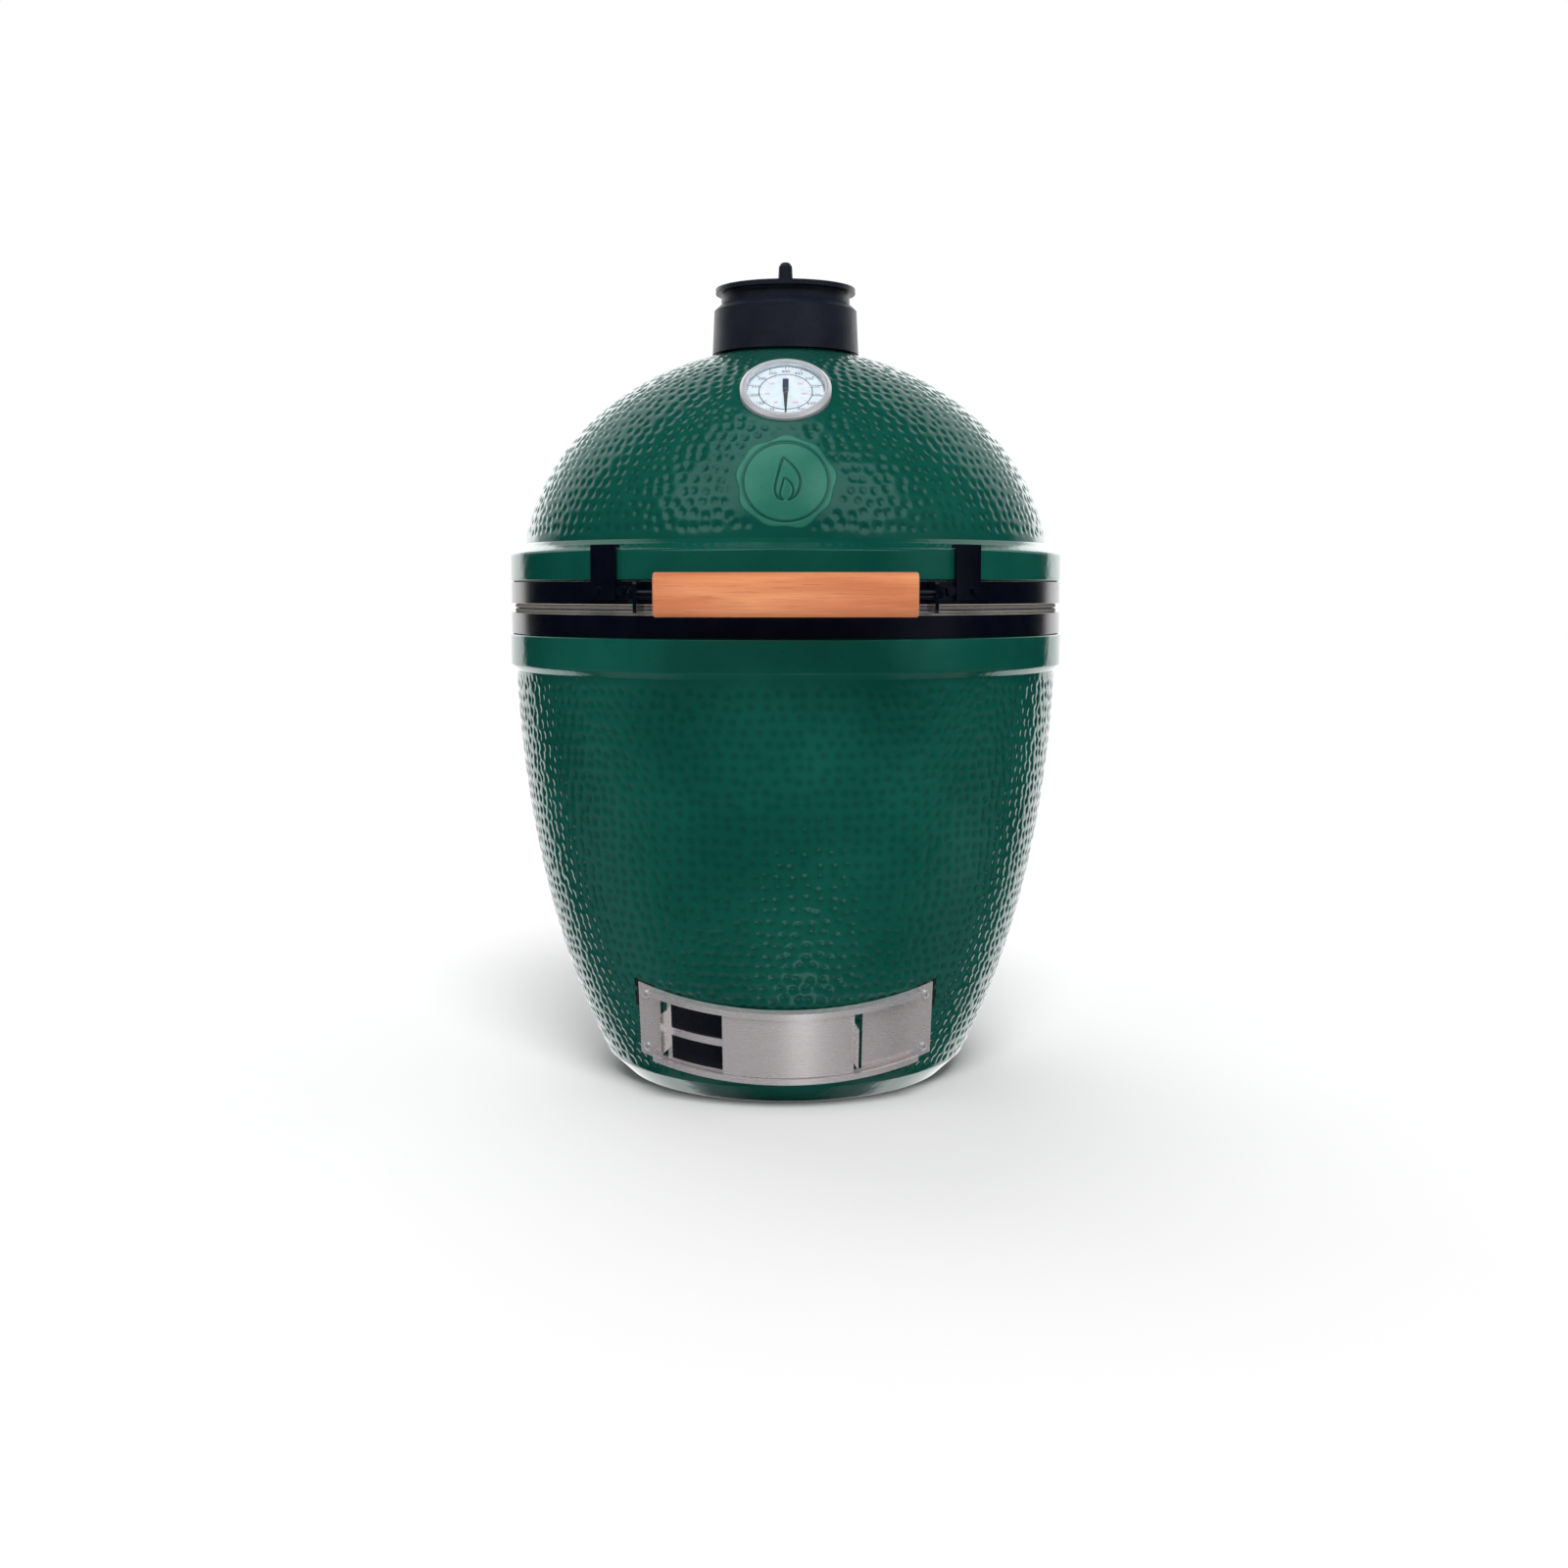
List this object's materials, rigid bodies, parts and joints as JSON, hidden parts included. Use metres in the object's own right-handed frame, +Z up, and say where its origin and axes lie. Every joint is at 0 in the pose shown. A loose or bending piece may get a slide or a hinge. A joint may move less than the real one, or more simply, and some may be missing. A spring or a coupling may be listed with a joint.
{
  "type": "kamado ceramic grill",
  "caption": "Egg-shaped ceramic charcoal grill: glazed base and hinged dome, wooden handle, thermometer, chimney cap, sliding draft door, fire box, plate setter and grid.",
  "frame": {"origin": "centre of the foot's flat underside", "axes": "+Z up, -Y towards the handle, draft door and thermometer, +X to the right seen from the front"},
  "size_m": [0.551, 0.657, 0.805],
  "materials": {
    "green_glaze": "deep green glossy glaze over pebbled ceramic",
    "raw_ceramic": "unglazed cream refractory ceramic, fine matt grain",
    "black_steel": "black powder coat, satin",
    "black_iron": "black coated cast iron, satin",
    "rusty_iron": "bare seasoned cast iron, dull grey",
    "stainless": "stainless steel, brushed",
    "bright_steel": "bright drawn stainless wire",
    "zinc_steel": "zinc plated fasteners",
    "grey_felt": "light grey heat-proof felt",
    "handle_wood": "warm orange-brown hardwood, oiled",
    "dial_white": "white printed dial",
    "bezel_steel": "bright satin aluminium",
    "needle_paint": "dark enamel",
    "clear_glass": "flat clear glass"
  },
  "bodies": {
    "base": {"base_shell": "green_glaze", "base_gasket": "grey_felt", "lower_band": "black_steel", "lower_hinge_bracket": "black_steel", "lower_band_bolts": "zinc_steel", "lower_band_nuts": "zinc_steel", "hinge_pin": "zinc_steel", "hinge_pin_clips": "zinc_steel", "assist_spring_left": "zinc_steel", "assist_spring_right": "zinc_steel", "vent_frame": "stainless", "vent_screws": "bright_steel", "fire_box": "raw_ceramic", "fire_ring": "raw_ceramic", "fire_grate": "rusty_iron"},
    "dome": {"dome_shell": "green_glaze", "dome_gasket": "grey_felt", "upper_band": "black_steel", "upper_hinge_bracket": "black_steel", "upper_band_bolts": "zinc_steel", "upper_band_nuts": "zinc_steel", "handle_bracket_left": "black_steel", "handle_bracket_right": "black_steel", "handle_bracket_bolts": "black_steel", "wood_handle": "handle_wood", "handle_rod": "black_steel", "handle_rod_nuts": "black_steel", "thermometer_bezel": "bezel_steel", "thermometer_glass": "clear_glass", "thermometer_dial": "dial_white", "thermometer_stem": "stainless", "thermometer_clip": "stainless"},
    "needle": {"thermometer_needle": "needle_paint"},
    "cap": {"cap_collar": "black_iron", "cap_gasket": "grey_felt", "cap_pivot_bolt": "black_iron"},
    "slide_disc": {"slide_disc": "black_iron"},
    "daisy_wheel": {"daisy_wheel": "black_iron", "daisy_knob": "black_iron", "daisy_rivet": "black_iron"},
    "draft_door": {"draft_door": "stainless"},
    "screen_door": {"screen_door": "stainless", "screen_mesh": "black_steel"},
    "plate_setter": {"plate_setter": "raw_ceramic"},
    "cooking_grid": {"grid_ring": "bright_steel", "grid_bars": "bright_steel", "grid_cross_wires": "bright_steel"}
  },
  "joints": [
    {"name": "dome_hinge", "type": "hinge", "parent": "base", "child": "dome", "pos_m": [0, 0.312, 0.4655], "axis": [-1, 0, 0], "range_deg": [0, 78], "stiffness_Nm_per_rad": 20, "springref_deg": 77.92, "deforming": ["assist_spring_left", "assist_spring_right"]},
    {"name": "cap_lift", "type": "slide", "parent": "dome", "child": "cap", "axis": [0, 0, 1], "range_m": [0, 0.06]},
    {"name": "damper_swing", "type": "hinge", "parent": "cap", "child": "slide_disc", "pos_m": [0, 0.0552, 0.776], "axis": [0, 0, 1], "range_deg": [0, 100]},
    {"name": "daisy_turn", "type": "hinge", "parent": "slide_disc", "child": "daisy_wheel", "pos_m": [0, 0, 0.78], "axis": [0, 0, 1], "range_deg": [0, 36]},
    {"name": "needle_turn", "type": "hinge", "parent": "dome", "child": "needle", "pos_m": [0, -0.182, 0.665], "axis": [0, 0.7133, -0.7009], "range_deg": [0, 300], "stiffness_Nm_per_rad": 0.001},
    {"name": "draft_slide", "type": "hinge", "parent": "base", "child": "draft_door", "pos_m": [0, 0.0021, 0.1481], "axis": [0, -0.3746, 0.9272], "range_deg": [-13, 15]},
    {"name": "screen_slide", "type": "hinge", "parent": "base", "child": "screen_door", "pos_m": [0, 0.0021, 0.1481], "axis": [0, -0.3746, 0.9272], "range_deg": [-0.8, 14]},
    {"name": "setter_lift", "type": "slide", "parent": "base", "child": "plate_setter", "axis": [0, 0, 1], "range_m": [0, 0.02]},
    {"name": "grid_lift", "type": "slide", "parent": "plate_setter", "child": "cooking_grid", "axis": [0, 0, 1], "range_m": [0, 0.03]}
  ]
}
